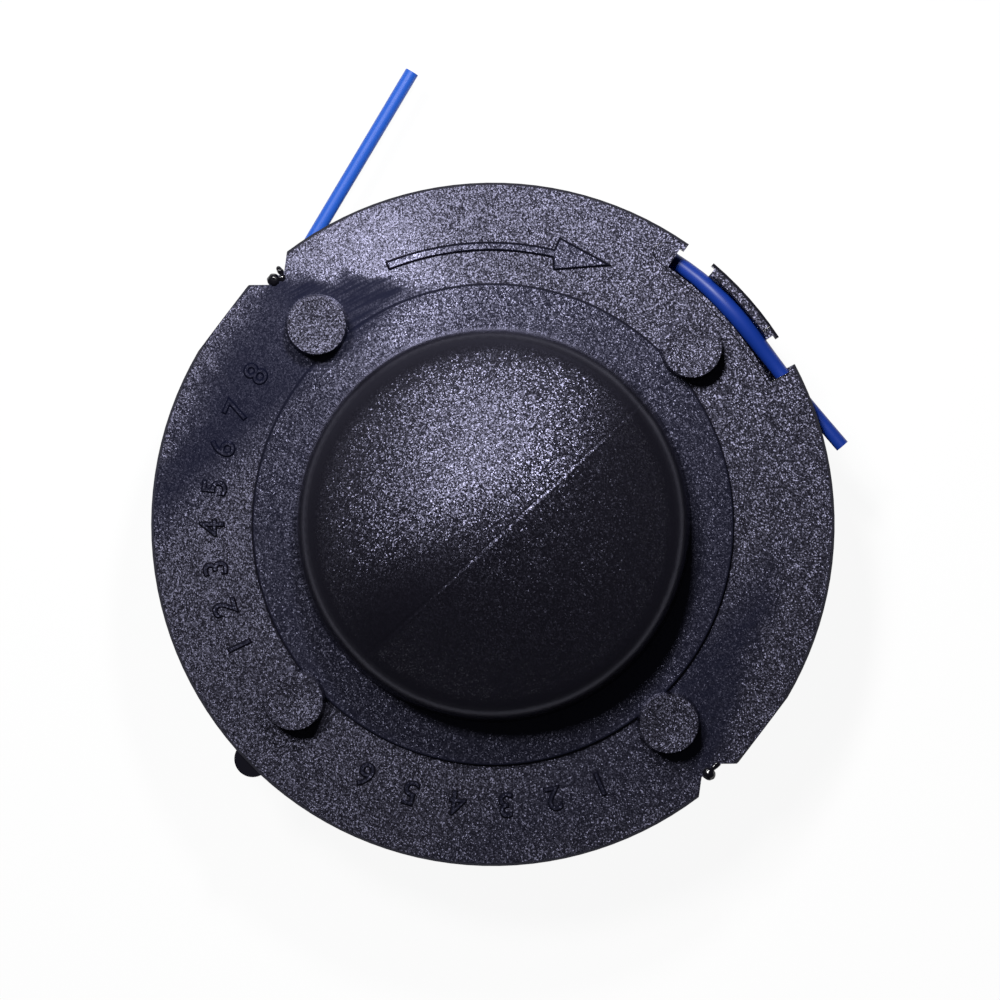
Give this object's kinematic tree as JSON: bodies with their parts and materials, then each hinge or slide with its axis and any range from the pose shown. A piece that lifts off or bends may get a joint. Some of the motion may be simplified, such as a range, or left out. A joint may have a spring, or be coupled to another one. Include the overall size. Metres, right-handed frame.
{
  "type": "trimmer line spool",
  "caption": "Twin-line grass trimmer spool: domed bump knob, flanges with a line clip, hollow drum with drive dogs, wound with blue cutting line whose cut ends stick out.",
  "frame": {"origin": "centre of the rear flange's rear face, on the spool's axis", "axes": "+Z along the spool's axis towards the dome, +X and +Y in the plane of the rear face; the rear line's free end points towards +Y"},
  "size_m": [0.0817, 0.0943, 0.0294],
  "materials": {
    "black_nylon": "moulded, fine spark-eroded grain",
    "blue_line": "smooth extruded nylon"
  },
  "bodies": {
    "root": {"spool_body": "black_nylon", "front_line_winding": "blue_line", "front_line_tail": "blue_line", "rear_line_winding": "blue_line", "rear_line_tail": "blue_line"}
  },
  "joints": []
}
